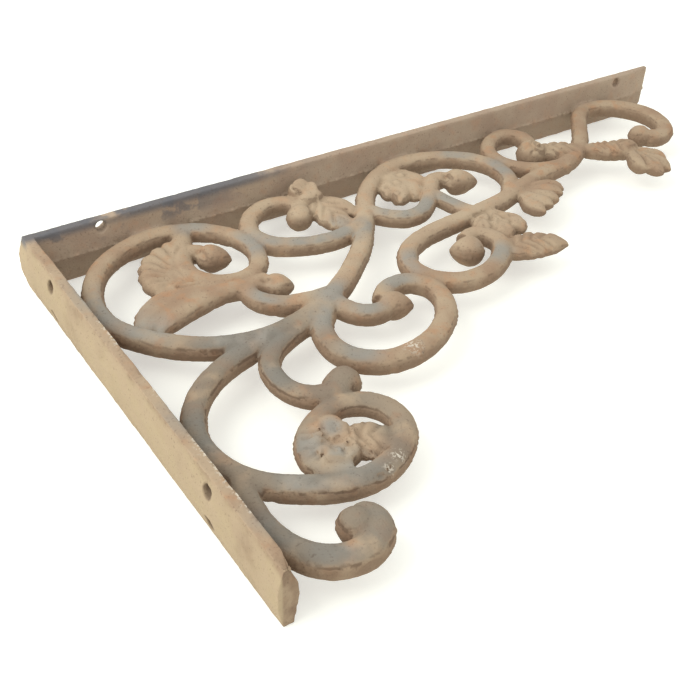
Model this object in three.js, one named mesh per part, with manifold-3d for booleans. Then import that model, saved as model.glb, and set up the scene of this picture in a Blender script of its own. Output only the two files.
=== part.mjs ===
// Ornate cast iron shelf bracket, one casting, in millimetres with +Z up.
// X runs out from the wall, Y runs across the plates and Z runs up to the shelf.
// The origin is the middle of the face that sits against the wall.

import * as THREE from "three";
import { mergeVertices } from "three/addons/utils/BufferGeometryUtils.js";
import Module from "manifold-3d";

// Driving dimensions of the two plates
const shelfArmLength = 405;
const wallArmLength = 231.5;
const plateWidth = 28;
const plateEdgeThickness = 4.4;
const innerSwell = 2.2;
const outerCrown = 2;
const seatBandWidth = 9.4;
const armTipThickness = 2.8;
const armTipTaper = 16;

// Screw holes, two pairs in each plate, set in from the ends and the edges
const screwHoleDiameter = 5.5;
const shelfScrewInset = { corner: 36.5, tip: 28.5, front: 3.8, back: 3.8 };
const wallScrewInset = { corner: 36.5, foot: 49.3, front: 6.3, back: 6.1 };

// Scrollwork. The two scales multiply the radii drawn in the plan.
const barScale = 1;
const ballScale = 1;
const leafHalfDepth = 4.6;

// The scroll plan below is drawn as [reach from the corner, drop below the corner, bar radius]
// for plates of these sizes, and it stretches with the plates from their inner faces.
const drawnReach = 405;
const drawnDrop = 231.5;
const drawnFace = 6.6;

// Facets
const plateLevels = 6;
const barSides = 8;
const lobeSides = 6;
const lobeSteps = 3;
const ballSides = 9;
const ballRings = 6;
const holeSides = 16;

const wasm = await Module();
wasm.setup();

const plateFace = plateEdgeThickness + innerSwell;
const reachStretch = (shelfArmLength - plateFace) / (drawnReach - drawnFace);
const dropStretch = (wallArmLength - plateFace) / (drawnDrop - drawnFace);

// A point of the scroll plan in the frame of the outer corner, where X is reach and Z is height
function place(reach, drop, across = 0) {
  const x = plateFace + (reach - drawnFace) * reachStretch;
  const z = -(plateFace + (drop - drawnFace) * dropStretch);
  return new THREE.Vector3(x, across, z);
}

// Turns a closed three.js geometry into a solid that can be joined and cut
function solidOf(geometry) {
  const bare = geometry.clone();
  bare.deleteAttribute("normal");
  bare.deleteAttribute("uv");
  const merged = mergeVertices(bare, 1e-4);
  const mesh = new wasm.Mesh({
    numProp: 3,
    vertProperties: new Float32Array(merged.attributes.position.array),
    triVerts: new Uint32Array(merged.index.array),
  });
  return new wasm.Manifold(mesh);
}

function geometryOf(solid) {
  const mesh = solid.getMesh();
  const geometry = new THREE.BufferGeometry();
  geometry.setAttribute("position", new THREE.BufferAttribute(new Float32Array(mesh.vertProperties), 3));
  geometry.setIndex(new THREE.BufferAttribute(new Uint32Array(mesh.triVerts), 1));
  geometry.computeVertexNormals();
  return geometry;
}

function outlineOf(points) {
  const shape = new THREE.Shape();
  points.forEach(([x, y], index) => (index === 0 ? shape.moveTo(x, y) : shape.lineTo(x, y)));
  return shape;
}

// The two plates are one L, drafted both ways from the parting line along their middle.
// Each corner of the L moves out on the crowned side and in on the swollen side.
function plates() {
  const tipSwell = 0.3;
  const corners = [
    { at: [0, 0], crown: [-1, 1], swell: [0, 0] },
    { at: [0, -wallArmLength], crown: [-1, 0], swell: [0, 0] },
    { at: [plateEdgeThickness, -wallArmLength], crown: [0, 0], swell: [1, 0] },
    { at: [plateEdgeThickness, -plateEdgeThickness], crown: [0, 0], swell: [1, -1] },
    { at: [shelfArmLength - armTipTaper, -plateEdgeThickness], crown: [0, 0], swell: [0, -1] },
    { at: [shelfArmLength, -armTipThickness], crown: [0, 0], swell: [0, -tipSwell] },
    { at: [shelfArmLength, 0], crown: [0, 1], swell: [0, 0] },
  ];
  const outline = outlineOf(corners.map((corner) => corner.at));
  const geometry = new THREE.ExtrudeGeometry(outline, {
    depth: plateWidth,
    steps: plateLevels,
    bevelEnabled: false,
  });
  const position = geometry.attributes.position;
  const half = plateWidth / 2;
  for (let index = 0; index < position.count; index += 1) {
    const x = position.getX(index);
    const z = position.getY(index);
    const across = position.getZ(index) - half;
    const corner = nearestCorner(corners, x, z);
    const crown = outerCrown * Math.min(1, (half - Math.abs(across)) / (half - seatBandWidth / 2));
    const swell = innerSwell * (1 - Math.abs(across) / half);
    position.setXYZ(
      index,
      x + corner.crown[0] * crown + corner.swell[0] * swell,
      -across,
      z + corner.crown[1] * crown + corner.swell[1] * swell,
    );
  }
  return solidOf(geometry);
}

function nearestCorner(corners, x, z) {
  const gap = (corner) => Math.hypot(corner.at[0] - x, corner.at[1] - z);
  return corners.reduce((best, corner) => (gap(corner) < gap(best) ? corner : best));
}

// A through hole for a screw, longer than the plates are thick, standing along Y at the origin
function screwHole() {
  const radius = screwHoleDiameter / 2;
  const length = 4 * plateFace;
  return new THREE.CylinderGeometry(radius, radius, length, holeSides);
}

// The places across a plate for its front and back holes
function acrossOf(inset) {
  return [inset.front - plateWidth / 2, plateWidth / 2 - inset.back];
}

function drilled(solid) {
  let result = solid;
  for (const reach of [shelfScrewInset.corner, shelfArmLength - shelfScrewInset.tip]) {
    for (const across of acrossOf(shelfScrewInset)) {
      const hole = screwHole().rotateX(Math.PI / 2).translate(reach, across, -plateFace / 2);
      result = result.subtract(solidOf(hole));
    }
  }
  for (const drop of [wallScrewInset.corner, wallArmLength - wallScrewInset.foot]) {
    for (const across of acrossOf(wallScrewInset)) {
      const hole = screwHole().rotateZ(Math.PI / 2).translate(plateFace / 2, across, -drop);
      result = result.subtract(solidOf(hole));
    }
  }
  return result;
}

// A rod of round section bent along a curve in the scroll plane. sizes(share) gives its half
// width and half depth at each share of the length, and a flat of the section faces each way.
function bentRod(curve, sizes, steps, sides) {
  const halfFacet = 0.5;
  const section = outlineOf(
    Array.from({ length: sides }, (_, side) => {
      const angle = ((side + halfFacet) / sides) * 2 * Math.PI;
      return [Math.cos(angle), Math.sin(angle)];
    }),
  );
  const geometry = new THREE.ExtrudeGeometry(section, { depth: 1, steps, bevelEnabled: false });
  const position = geometry.attributes.position;
  for (let index = 0; index < position.count; index += 1) {
    const share = THREE.MathUtils.clamp(position.getZ(index), 0, 1);
    const centre = curve.getPoint(share);
    const ahead = curve.getTangent(share);
    const { width, depth } = sizes(share);
    const aside = width * position.getX(index);
    const across = depth * position.getY(index);
    position.setXYZ(index, centre.x + ahead.z * aside, centre.y + across, centre.z - ahead.x * aside);
  }
  return solidOf(geometry);
}

// How many steps a curve is bent in: one for every 26 degrees of turn or 16 mm of length
function stepsAlong(curve) {
  const probes = 80;
  let turning = 0;
  for (let index = 1; index <= probes; index += 1) {
    turning += curve.getTangent((index - 1) / probes).angleTo(curve.getTangent(index / probes));
  }
  const longestStep = 16;
  const turnStep = THREE.MathUtils.degToRad(26);
  return Math.max(2, Math.round(Math.max(turning / turnStep, curve.getLength() / longestStep)));
}

// A cast bar through its stations, each [reach, drop, radius]
function bar(stations) {
  const curve = new THREE.CatmullRomCurve3(
    stations.map(([reach, drop]) => place(reach, drop)),
    false,
    "centripetal",
  );
  const last = stations.length - 1;
  const radiusAt = (share) => {
    const station = Math.min(last - 1, Math.floor(share * last));
    const part = share * last - station;
    return barScale * THREE.MathUtils.lerp(stations[station][2], stations[station + 1][2], part);
  };
  const sizes = (share) => ({ width: radiusAt(share), depth: radiusAt(share) });
  return bentRod(curve, sizes, stepsAlong(curve), barSides);
}

// A ball end: a sphere whose side towards the tip, where it has one, is drawn out and narrowed
const ballNarrowing = 0.35;

function ballEnd({ at, radius, tip }) {
  const size = radius * ballScale;
  const centre = place(...at);
  const upward = new THREE.Vector3(0, 1, 0);
  const along = tip ? place(...tip).sub(centre) : upward.clone();
  const longer = tip ? along.length() / size : 1;
  const narrowing = tip ? ballNarrowing : 0;
  const geometry = new THREE.SphereGeometry(size, ballSides, ballRings);
  const position = geometry.attributes.position;
  for (let index = 0; index < position.count; index += 1) {
    const height = position.getY(index);
    const share = Math.max(0, height / size);
    const narrow = 1 - narrowing * share * share;
    const stretch = share > 0 ? longer : 1;
    position.setXYZ(index, position.getX(index) * narrow, height * stretch, position.getZ(index) * narrow);
  }
  const turn = new THREE.Quaternion().setFromUnitVectors(upward, along.normalize());
  return solidOf(geometry.applyQuaternion(turn).translate(centre.x, centre.y, centre.z));
}

// How a lobe of a leaf swells along its length. A bud and a blade start at a share of their full
// size and swell like half a wave, whose fullest place is nearer the tip the higher the lean.
const swellingFrom = (start, lean) => (share) => start + (1 - start) * Math.sin(Math.PI * share ** lean);
const bud = swellingFrom(0.42, 1.5);
const blade = swellingFrom(0.45, 0.9);

// A wedge widens evenly up to its fullest share and keeps that size to its end
const wedgeStart = 0.3;
const wedgeFullest = 0.8;
const wedge = (share) => wedgeStart + (1 - wedgeStart) * Math.min(share / wedgeFullest, 1);

// One lobe of a leaf: a flattened rod from the leaf's root to the lobe's own tip
function lobe(leaf, { tip, width, depth = leafHalfDepth, lift = 0, via, form = bud }) {
  const middle = via ?? [(leaf.root[0] + tip[0]) / 2, (leaf.root[1] + tip[1]) / 2];
  const rootLift = leaf.lift ?? 0;
  const curve = new THREE.QuadraticBezierCurve3(
    place(...leaf.root, -rootLift),
    place(...middle, -(rootLift + lift) / 2),
    place(...tip, -lift),
  );
  const endShare = 0.3;
  const sizes = (share) => {
    const swell = form(share) * (share < 1 ? 1 : endShare / form(1));
    return { width: width * swell, depth: depth * Math.sqrt(swell) };
  };
  return bentRod(curve, sizes, lobeSteps, lobeSides);
}

function joined(solids) {
  return solids.reduce((whole, solid) => whole.add(solid));
}

// The bars of the scrollwork, each from where it springs to where it curls up
const bars = {
  cornerRing: [
    [100, 101, 5.5], [84, 106.5, 5.8], [66, 109, 5.8], [48, 105, 5.6], [33, 96, 5.6], [21, 84, 5.5],
    [13, 70, 5.4], [11.6, 55, 5.3], [16.5, 39, 5.2], [26, 25.5, 5.2], [40, 16.2, 5.2], [58, 11.4, 5.4],
    [76, 15, 5], [89, 25, 4.9], [95.5, 38, 4.8], [94.5, 51, 4.8], [88, 61, 4.7], [78, 64.5, 4.6],
    [68, 61.5, 4.6], [61.5, 54, 4.6], [60, 45, 4.6], [62.5, 36.5, 4.7], [67, 33, 4.9], [72, 35.5, 4.8],
    [75, 40, 3.5],
  ],
  budHook: [
    [106, 96, 5.4], [96, 95, 5.3], [85, 92, 5.2], [77, 84, 5], [75.5, 76, 4.8], [79, 71.5, 5],
    [84.5, 72.5, 5], [89, 76, 3.5],
  ],
  greatScroll: [
    [96, 103, 5.6], [106, 97.5, 5.8], [117, 90.5, 5.6], [129, 81, 5.4], [141.5, 69.5, 5.3],
    [152, 56.5, 5.2], [163, 41, 5.2], [173, 28, 5.2], [187, 17, 5.3], [204, 11.2, 5.5],
    [222, 12.6, 5.3], [238, 20.5, 5.1], [248, 32, 5.1], [250.5, 45, 5.1], [246, 58, 5], [236, 68, 5],
  ],
  innerCurl: [
    [162, 41, 4.8], [168, 52, 4.9], [177, 58.5, 4.9], [188, 57, 4.8], [198, 49, 4.7], [206, 40, 4.8],
    [211.5, 34.5, 5], [217, 35.5, 5], [222, 40, 3.5],
  ],
  curlStrut: [
    [203, 47, 4.2], [205, 59, 4.4], [208, 71, 4.8],
  ],
  budLoop: [
    [157, 49, 5], [146, 55, 5], [131, 57, 5], [116, 53, 5], [104.5, 45, 5.2], [101, 33, 5.2],
    [107.5, 20.5, 5], [120, 13.5, 4.9], [131, 15.5, 4.8], [134.5, 21, 5], [132, 28, 5.4],
  ],
  farLoop: [
    [288, 57, 4.9], [273, 54, 4.9], [262, 47, 4.8], [257, 36, 4.7], [259, 24, 4.7], [268, 15, 4.7],
    [279, 12, 4.9], [286, 17, 5], [286.5, 26, 5], [281, 35, 3.5],
  ],
  longStem: [
    [349, 8, 4.8], [338, 14.5, 4.8], [329, 24, 4.8], [318, 36.5, 4.9], [306, 47, 5], [292, 54.5, 5.1],
    [276, 58, 5.1], [260, 60.5, 5.1], [245, 65, 5.1], [228, 70, 5.1], [208, 73, 5.2], [188, 75, 5.2],
    [171, 78, 5.2], [158, 85, 5.3], [151.5, 96, 5.3], [154, 109, 5.3], [165, 117.5, 5.3],
    [179, 118, 5.3], [193, 112, 5.3], [201.5, 102.5, 5.2], [201.5, 94, 5.1], [195.5, 88.5, 5],
    [188, 90.5, 5],
  ],
  heartLoop: [
    [101, 103, 5.4], [93, 110, 5.4], [87.5, 120, 5.4], [86.5, 132, 5.5], [92, 142.5, 5.6],
    [103, 148.5, 5.6], [117, 148.5, 5.5], [131, 143.5, 5.3], [142.5, 134.5, 5.2], [149, 123, 5.2],
    [149, 111.5, 5.2], [140, 104.5, 5.2], [130, 106, 5.3], [124.5, 112, 5.6],
  ],
  heartHook: [
    [105, 98, 5.2], [105.5, 106, 5.2], [109, 113.5, 5.2], [115, 117.5, 5.2], [122, 117.5, 5],
  ],
  sideHook: [
    [90, 107, 5.2], [76, 112, 5], [64, 118, 4.9], [57, 126, 4.9], [54.8, 136, 5], [57.5, 146.5, 5],
    [64, 152.5, 5.4], [70.5, 154, 6], [76, 152, 6.2],
  ],
  lowerScroll: [
    [68, 109, 5.6], [52, 113.5, 5.6], [37, 119, 5.5], [24, 128, 5.5], [15, 139.5, 5.4],
    [10.6, 153, 5.3], [12, 168, 5.3], [19, 182, 5.4], [31, 192, 5.6], [46, 199.5, 5.7],
    [60, 200.5, 5.7], [73, 195, 5.7], [82, 185, 5.6], [83, 173.5, 5.4], [76.5, 164.5, 5.2],
    [66, 161.5, 5], [54.5, 165, 5], [45.5, 172.5, 5], [41.5, 182, 4.8], [44, 190.5, 4.6],
    [52, 195.5, 4.6],
  ],
  footScroll: [
    [15, 176, 5.3], [11, 190, 5.4], [10.4, 203, 5.5], [13.5, 216, 5.8], [21.5, 226, 6.2],
    [32, 229, 6.5], [40.5, 226.5, 6.5], [44.5, 220.5, 6.2], [43, 214.5, 5.4], [38.5, 215, 3.5],
  ],
  farHook: [
    [347, 9.5, 4.8], [358, 11.5, 5.2], [368, 18.5, 5.5], [375, 30, 5.6], [375.5, 42, 5.5],
    [370, 53.5, 5.4], [361, 58, 5.3], [353, 55, 5.2],
  ],
  fanStem: [
    [88, 71, 4.8], [76, 71, 5], [64, 68.5, 5],
  ],
};

// The ball ends. One with a tip is drawn out towards it like a bud.
const ballEnds = [
  { at: [74.5, 41], radius: 6.9, tip: [83, 46.5] },
  { at: [89.3, 76.5], radius: 6.3, tip: [96.5, 81] },
  { at: [222.5, 40.5], radius: 7.1, tip: [233, 46] },
  { at: [130.3, 30.4], radius: 6.8 },
  { at: [185, 98.3], radius: 7.5, tip: [176.8, 93.2] },
  { at: [126.5, 116.3], radius: 6.7, tip: [134.5, 121] },
  { at: [77, 150.5], radius: 7.5, tip: [68.5, 147] },
  { at: [38, 217.2], radius: 7.3 },
  { at: [351.5, 51], radius: 6.5 },
  { at: [279.5, 37], radius: 8.5 },
];

// The leaves, each a spray of lobes from one root. A lobe's lift brings it forward of the middle
// of the bars, and via is the point that it bends towards.
const leaves = {
  cornerFan: {
    root: [57, 53],
    lobes: [
      { tip: [62, 20], width: 5, form: wedge },
      { tip: [54, 22.5], width: 5, form: wedge },
      { tip: [47, 26.5], width: 5, form: wedge },
      { tip: [42, 32.5], width: 5, form: wedge },
      { tip: [38.5, 39.5], width: 5, form: wedge },
      { tip: [37, 46.5], width: 5, form: wedge },
      { tip: [38, 53], width: 5, form: wedge },
      { tip: [44, 58], width: 5, form: wedge },
    ],
  },
  fanNeck: {
    root: [75, 15],
    lobes: [
      { tip: [55, 60], width: 6.4, depth: 4.8, via: [57, 34], form: blade },
    ],
  },
  lowerLeaf: {
    root: [74, 70],
    lobes: [
      { tip: [21, 80], width: 10.5, depth: 4.8, via: [40, 57], form: blade },
      { tip: [27, 84], width: 7, depth: 4.6, via: [44, 66], form: blade },
    ],
  },
  loopRosette: {
    root: [142, 17],
    lift: 4,
    lobes: [
      { tip: [134, 13], width: 4.6, lift: 5 },
      { tip: [142, 9], width: 4.6, lift: 6 },
      { tip: [149, 17], width: 4.6, lift: 5 },
      { tip: [138, 26], width: 5, lift: 2 },
      { tip: [147, 26], width: 5, lift: 2 },
    ],
  },
  loopLeaf: {
    root: [145, 20],
    lobes: [
      { tip: [147, 55], width: 8.6, depth: 4.6, lift: 0.5, via: [143, 38], form: blade },
      { tip: [156, 44], width: 6, depth: 4.2, lift: 0.5, via: [153, 26] },
    ],
  },
  curlRosette: {
    root: [203, 19],
    lobes: [
      { tip: [186, 27], width: 6.6 },
      { tip: [179.5, 36], width: 6.6 },
      { tip: [183, 44], width: 6.4 },
      { tip: [193, 45], width: 6.4 },
      { tip: [202, 37], width: 6.4 },
      { tip: [189, 37], width: 8 },
    ],
  },
  stemSpray: {
    root: [217, 76],
    lobes: [
      { tip: [201, 92], width: 5.6, via: [205, 80] },
      { tip: [209, 100], width: 6.4 },
      { tip: [220, 98], width: 5.8, via: [223, 87] },
    ],
  },
  pointedLeaf: {
    root: [200, 110],
    lobes: [
      { tip: [231.5, 118], width: 10, depth: 4.6, via: [215, 106], form: blade },
    ],
  },
  cuppedLeaf: {
    root: [245, 68],
    lobes: [
      { tip: [251, 84], width: 15, depth: 4 },
      { tip: [240, 92.5], width: 4.6, depth: 4, lift: 2, via: [237, 80] },
      { tip: [247, 90.5], width: 4.6, depth: 4, lift: 3, via: [243, 79] },
      { tip: [253.5, 87.5], width: 4.6, depth: 4, lift: 3, via: [250, 77] },
      { tip: [260, 83.5], width: 4.6, depth: 4, lift: 3, via: [257, 72] },
      { tip: [265, 79], width: 4.6, depth: 4, lift: 2, via: [261, 66] },
    ],
  },
  farCalyx: {
    root: [282, 37],
    lobes: [
      { tip: [308, 50], width: 8, depth: 6, form: blade },
    ],
  },
  farStem: {
    root: [309, 50],
    lobes: [
      { tip: [332, 66], width: 7, depth: 5.4, via: [323, 53], form: blade },
      { tip: [338, 62], width: 5.4, depth: 5, lift: 2 },
    ],
  },
  farLeaf: {
    root: [333, 63],
    lobes: [
      { tip: [324, 84], width: 5, via: [323, 72] },
      { tip: [329, 91], width: 5, via: [330, 76] },
      { tip: [336, 90], width: 5, via: [335, 75] },
      { tip: [341, 82], width: 4.8, via: [340, 69] },
    ],
  },
  scrollFlower: {
    root: [53, 180],
    lobes: [
      { tip: [45, 174], width: 6, lift: 1.5 },
      { tip: [51, 167], width: 6, lift: 1.5 },
      { tip: [59, 166], width: 6, lift: 2 },
      { tip: [63, 174], width: 6, lift: 2 },
      { tip: [62, 184], width: 6, lift: 2 },
      { tip: [56, 192], width: 6, lift: 1 },
      { tip: [47, 189], width: 6, lift: 1.5 },
      { tip: [43, 182], width: 6, lift: 1.5 },
    ],
  },
  flowerLeaf: {
    root: [56, 182],
    lobes: [
      { tip: [76, 190], width: 10.4, depth: 4.2, via: [66, 181], form: blade },
    ],
  },
};

function leafSolids(leaf) {
  return leaf.lobes.map((shape) => lobe(leaf, shape));
}

const scrollwork = joined([
  ...Object.values(bars).map(bar),
  ...ballEnds.map(ballEnd),
  ...Object.values(leaves).flatMap(leafSolids),
]);

const castIron = new THREE.MeshStandardMaterial({ color: 0x8a7866, roughness: 0.85, metalness: 0.35 });

const casting = new THREE.Mesh(geometryOf(drilled(plates()).add(scrollwork)), castIron);
casting.name = "bracket_casting";
casting.position.set(outerCrown, 0, wallArmLength / 2);

const group = new THREE.Group();
group.add(casting);

export default group;
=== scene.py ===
"""An ornate cast iron shelf bracket lying on its side on a pale table.

The bracket is one casting. Its plates, bars, ball ends and leaves are modelled one by one, then
fused and given the skin of an old sand casting. Sizes are in millimetres until they are placed.
"""

import logging
import math
import random
from collections.abc import Callable, Iterable
from dataclasses import dataclass, field
from enum import Enum

import bpy
import numpy as np
from mathutils import Matrix, Vector


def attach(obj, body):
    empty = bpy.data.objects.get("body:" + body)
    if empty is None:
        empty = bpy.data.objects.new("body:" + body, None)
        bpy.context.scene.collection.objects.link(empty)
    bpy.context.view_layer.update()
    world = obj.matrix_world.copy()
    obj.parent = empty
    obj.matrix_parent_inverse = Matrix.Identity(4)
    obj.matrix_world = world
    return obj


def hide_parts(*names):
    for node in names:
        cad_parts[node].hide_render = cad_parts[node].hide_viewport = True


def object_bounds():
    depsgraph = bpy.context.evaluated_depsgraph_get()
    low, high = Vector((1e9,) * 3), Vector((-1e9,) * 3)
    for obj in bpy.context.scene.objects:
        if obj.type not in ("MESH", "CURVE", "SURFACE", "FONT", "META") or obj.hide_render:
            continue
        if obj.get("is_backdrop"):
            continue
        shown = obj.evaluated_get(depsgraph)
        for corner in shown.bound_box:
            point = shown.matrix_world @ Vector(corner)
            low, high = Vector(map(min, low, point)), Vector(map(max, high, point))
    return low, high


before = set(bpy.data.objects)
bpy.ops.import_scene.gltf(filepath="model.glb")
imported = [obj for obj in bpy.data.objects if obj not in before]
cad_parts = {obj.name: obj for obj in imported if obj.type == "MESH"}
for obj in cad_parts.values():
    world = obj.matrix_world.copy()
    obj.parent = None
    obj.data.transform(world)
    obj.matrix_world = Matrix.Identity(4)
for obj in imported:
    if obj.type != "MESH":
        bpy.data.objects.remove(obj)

log = logging.getLogger("bracket")

MM = 0.001
CASTING = "bracket_casting"
# The power that rounds a rod's section: 2 is an ellipse, and a higher one is squarer.
SHOULDER = 2.4

Colour = tuple[int, int, int]
Stations = list[tuple[float, float, float]]
Socket = bpy.types.NodeSocket


class Form(Enum):
    """How a lobe of a leaf swells from its root to its tip."""

    BUD = "full past the middle and blunt"
    WEDGE = "widening to a round end"
    BLADE = "broad in the middle and narrow at the tip"

    def swell(self, share: float) -> float:
        """Gives the width at a place along the lobe.

        Args:
            share: The place, 0 at the root and 1 at the tip.

        Returns:
            The width there, as a share of the widest.
        """
        if self is Form.WEDGE:
            root, rise, full_at = 0.3, 0.7, 0.8
            return root + rise * min(share / full_at, 1.0)
        root, rise, lean = (0.42, 0.58, 1.5) if self is Form.BUD else (0.45, 0.55, 0.9)
        return root + rise * math.sin(math.pi * share**lean)


def srgb(red: int, green: int, blue: int) -> tuple[float, float, float, float]:
    """Turns a colour given in 0 to 255 into the linear colour that a shader takes.

    Args:
        red: Red, 0 to 255.
        green: Green, 0 to 255.
        blue: Blue, 0 to 255.

    Returns:
        The linear colour, with alpha 1.
    """
    parts = []
    for value in (red, green, blue):
        share = value / 255
        parts.append(share / 12.92 if share <= 0.04045 else ((share + 0.055) / 1.055) ** 2.4)
    return (*parts, 1.0)


@dataclass(frozen=True)
class Plan:
    """Places the scroll plan, whose points are a reach and a drop from the outer corner."""

    corner_reach: float = 2.0
    corner_height: float = 115.75

    def place(self, reach: float, drop: float, lift: float = 0.0) -> Vector:
        """Gives a plan point in the row frame.

        Args:
            reach: Distance out from the wall side of the corner.
            drop: Distance down from the shelf side of the corner.
            lift: Distance from the middle of the bars towards the front.

        Returns:
            The point in metres.
        """
        return Vector((self.corner_reach + reach, -lift, self.corner_height - drop)) * MM

    def measure(self, points: np.ndarray) -> tuple[np.ndarray, np.ndarray]:
        """Gives the reach and the drop of points in millimetres."""
        return points[:, 0] - self.corner_reach, self.corner_height - points[:, 2]


PLAN = Plan()


def clear_selection() -> None:
    """Leaves object mode with nothing selected."""
    if bpy.context.object and bpy.context.object.mode != "OBJECT":
        bpy.ops.object.mode_set(mode="OBJECT")
    bpy.ops.object.select_all(action="DESELECT")


def pick(piece: bpy.types.Object) -> None:
    """Leaves object mode with one piece selected and active.

    Args:
        piece: The piece that the next operator acts on.
    """
    clear_selection()
    piece.select_set(True)
    bpy.context.view_layer.objects.active = piece


def apply_place(piece: bpy.types.Object) -> None:
    """Moves a new piece's place, turn and size into its mesh."""
    pick(piece)
    bpy.ops.object.transform_apply(location=True, rotation=True, scale=True)


def face_outwards(piece: bpy.types.Object) -> None:
    """Turns all faces of a closed piece outwards.

    Args:
        piece: The closed mesh object.
    """
    pick(piece)
    bpy.ops.object.mode_set(mode="EDIT")
    bpy.ops.mesh.select_all(action="SELECT")
    bpy.ops.mesh.normals_make_consistent(inside=False)
    bpy.ops.object.mode_set(mode="OBJECT")


def select_points(piece: bpy.types.Object, wanted: Callable[[Vector], bool]) -> None:
    """Selects the points of a mesh that a test picks, and leaves it in edit mode.

    Args:
        piece: The mesh object, with its place in its mesh.
        wanted: A test that takes a point in millimetres and answers yes or no.
    """
    pick(piece)
    bpy.ops.object.mode_set(mode="EDIT")
    bpy.ops.mesh.select_mode(type="VERT")
    bpy.ops.mesh.select_all(action="DESELECT")
    bpy.ops.object.mode_set(mode="OBJECT")
    for vertex in piece.data.vertices:
        vertex.select = bool(wanted(vertex.co / MM))
    bpy.ops.object.mode_set(mode="EDIT")


def spline(stations: list[tuple[float, ...]], cuts: int) -> list[np.ndarray]:
    """Runs a smooth curve through stations, as a bent bar runs.

    Args:
        stations: The points, with any further values after the first two.
        cuts: How many steps each stretch between two stations is cut into.

    Returns:
        The points along the curve, with all their values.
    """
    points = [np.array(station, float) for station in stations]
    points = [2 * points[0] - points[1], *points, 2 * points[-1] - points[-2]]
    found = []
    for first, second, third, fourth in zip(points, points[1:], points[2:], points[3:]):
        spans = [max(math.dist(a[:2], b[:2]), 1e-6) ** 0.5 for a, b in
                 ((first, second), (second, third), (third, fourth))]
        before, here, after = spans
        chord = (third - second) / here
        leave = (second - first) / before - (third - first) / (before + here) + chord
        arrive = chord - (fourth - second) / (here + after) + (fourth - third) / after
        leave, arrive = leave * here, arrive * here
        for cut in range(cuts):
            t = cut / cuts
            found.append(
                second * (2 * t**3 - 3 * t**2 + 1)
                + leave * (t**3 - 2 * t**2 + t)
                + third * (-2 * t**3 + 3 * t**2)
                + arrive * (t**3 - t**2)
            )
    found.append(points[-2])
    return found


def extruded_rod(
    name: str, path: list[Vector], widths: list[float], depths: list[float], sides: int
) -> bpy.types.Object:
    """Extrudes a disc along a path in the scroll plane.

    Args:
        name: The piece's name.
        path: The centres of the rings, in metres.
        widths: The half width at each ring, in metres.
        depths: The half depth at each ring, in metres.
        sides: The sides of the disc.

    Returns:
        The rod, closed at both ends.
    """
    headings = []
    for index in range(len(path)):
        ahead = path[min(index + 1, len(path) - 1)] - path[max(index - 1, 0)]
        headings.append(math.atan2(ahead.x, ahead.z))
    clear_selection()
    bpy.ops.mesh.primitive_circle_add(vertices=sides, radius=1, fill_type="NGON")
    rod = bpy.context.object
    rod.name = name
    for vertex in rod.data.vertices:
        share = abs(vertex.co.x) ** SHOULDER + abs(vertex.co.y) ** SHOULDER
        vertex.co *= share ** (-1 / SHOULDER)
    rod.scale = (widths[0], depths[0], 1)
    rod.rotation_euler = (0, headings[0], 0)
    rod.location = path[0]
    apply_place(rod)
    bpy.ops.object.mode_set(mode="EDIT")
    bpy.ops.mesh.select_all(action="SELECT")
    for index in range(1, len(path)):
        step = path[index] - path[index - 1]
        turn = math.remainder(headings[index] - headings[index - 1], math.tau)
        wide = widths[index] / widths[index - 1]
        deep = depths[index] / depths[index - 1]
        bpy.ops.mesh.extrude_region_move(TRANSFORM_OT_translate={"value": step})
        bpy.ops.transform.rotate(
            value=-turn, orient_axis="Y", orient_type="GLOBAL", center_override=path[index]
        )
        bpy.ops.transform.resize(
            value=(wide, deep, wide), orient_type="GLOBAL", center_override=path[index]
        )
    bpy.ops.object.mode_set(mode="OBJECT")
    face_outwards(rod)
    return rod


def joined(pieces: list[bpy.types.Object], name: str) -> bpy.types.Object:
    """Joins pieces into the first of them.

    Args:
        pieces: The pieces, which are used up.
        name: The name of the result.

    Returns:
        The joined piece.
    """
    clear_selection()
    for piece in pieces:
        piece.select_set(True)
    bpy.context.view_layer.objects.active = pieces[0]
    bpy.ops.object.join()
    result = bpy.context.object
    result.name = name
    return result


def modified(piece: bpy.types.Object, kind: str, **settings: object) -> None:
    """Adds one modifier to a piece and applies it.

    Args:
        piece: The piece to change.
        kind: The modifier's type.
        **settings: The modifier's settings.
    """
    pick(piece)
    modifier = piece.modifiers.new(kind.title(), kind)
    for setting, value in settings.items():
        setattr(modifier, setting, value)
    bpy.ops.object.modifier_apply(modifier=modifier.name)


def mesh_fields(piece: bpy.types.Object) -> tuple[np.ndarray, np.ndarray]:
    """Reads the points of a mesh.

    Args:
        piece: The mesh object, with its place in its mesh.

    Returns:
        The points in millimetres, and their normals.
    """
    mesh = piece.data
    points = np.zeros(len(mesh.vertices) * 3, np.float32)
    mesh.vertices.foreach_get("co", points)
    normals = np.zeros(len(mesh.vertices) * 3, np.float32)
    mesh.vertices.foreach_get("normal", normals)
    return points.reshape(-1, 3).astype(float) / MM, normals.reshape(-1, 3).astype(float)


def set_points(piece: bpy.types.Object, points: np.ndarray) -> None:
    """Writes the points of a mesh, given in millimetres."""
    piece.data.vertices.foreach_set("co", (points * MM).astype(np.float32).ravel())
    piece.data.update()


def store(piece: bpy.types.Object, name: str, values: np.ndarray) -> None:
    """Stores one value for each point of a mesh."""
    stored = piece.data.attributes.new(name, "FLOAT", "POINT")
    stored.data.foreach_set("value", values.astype(np.float32))


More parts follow.
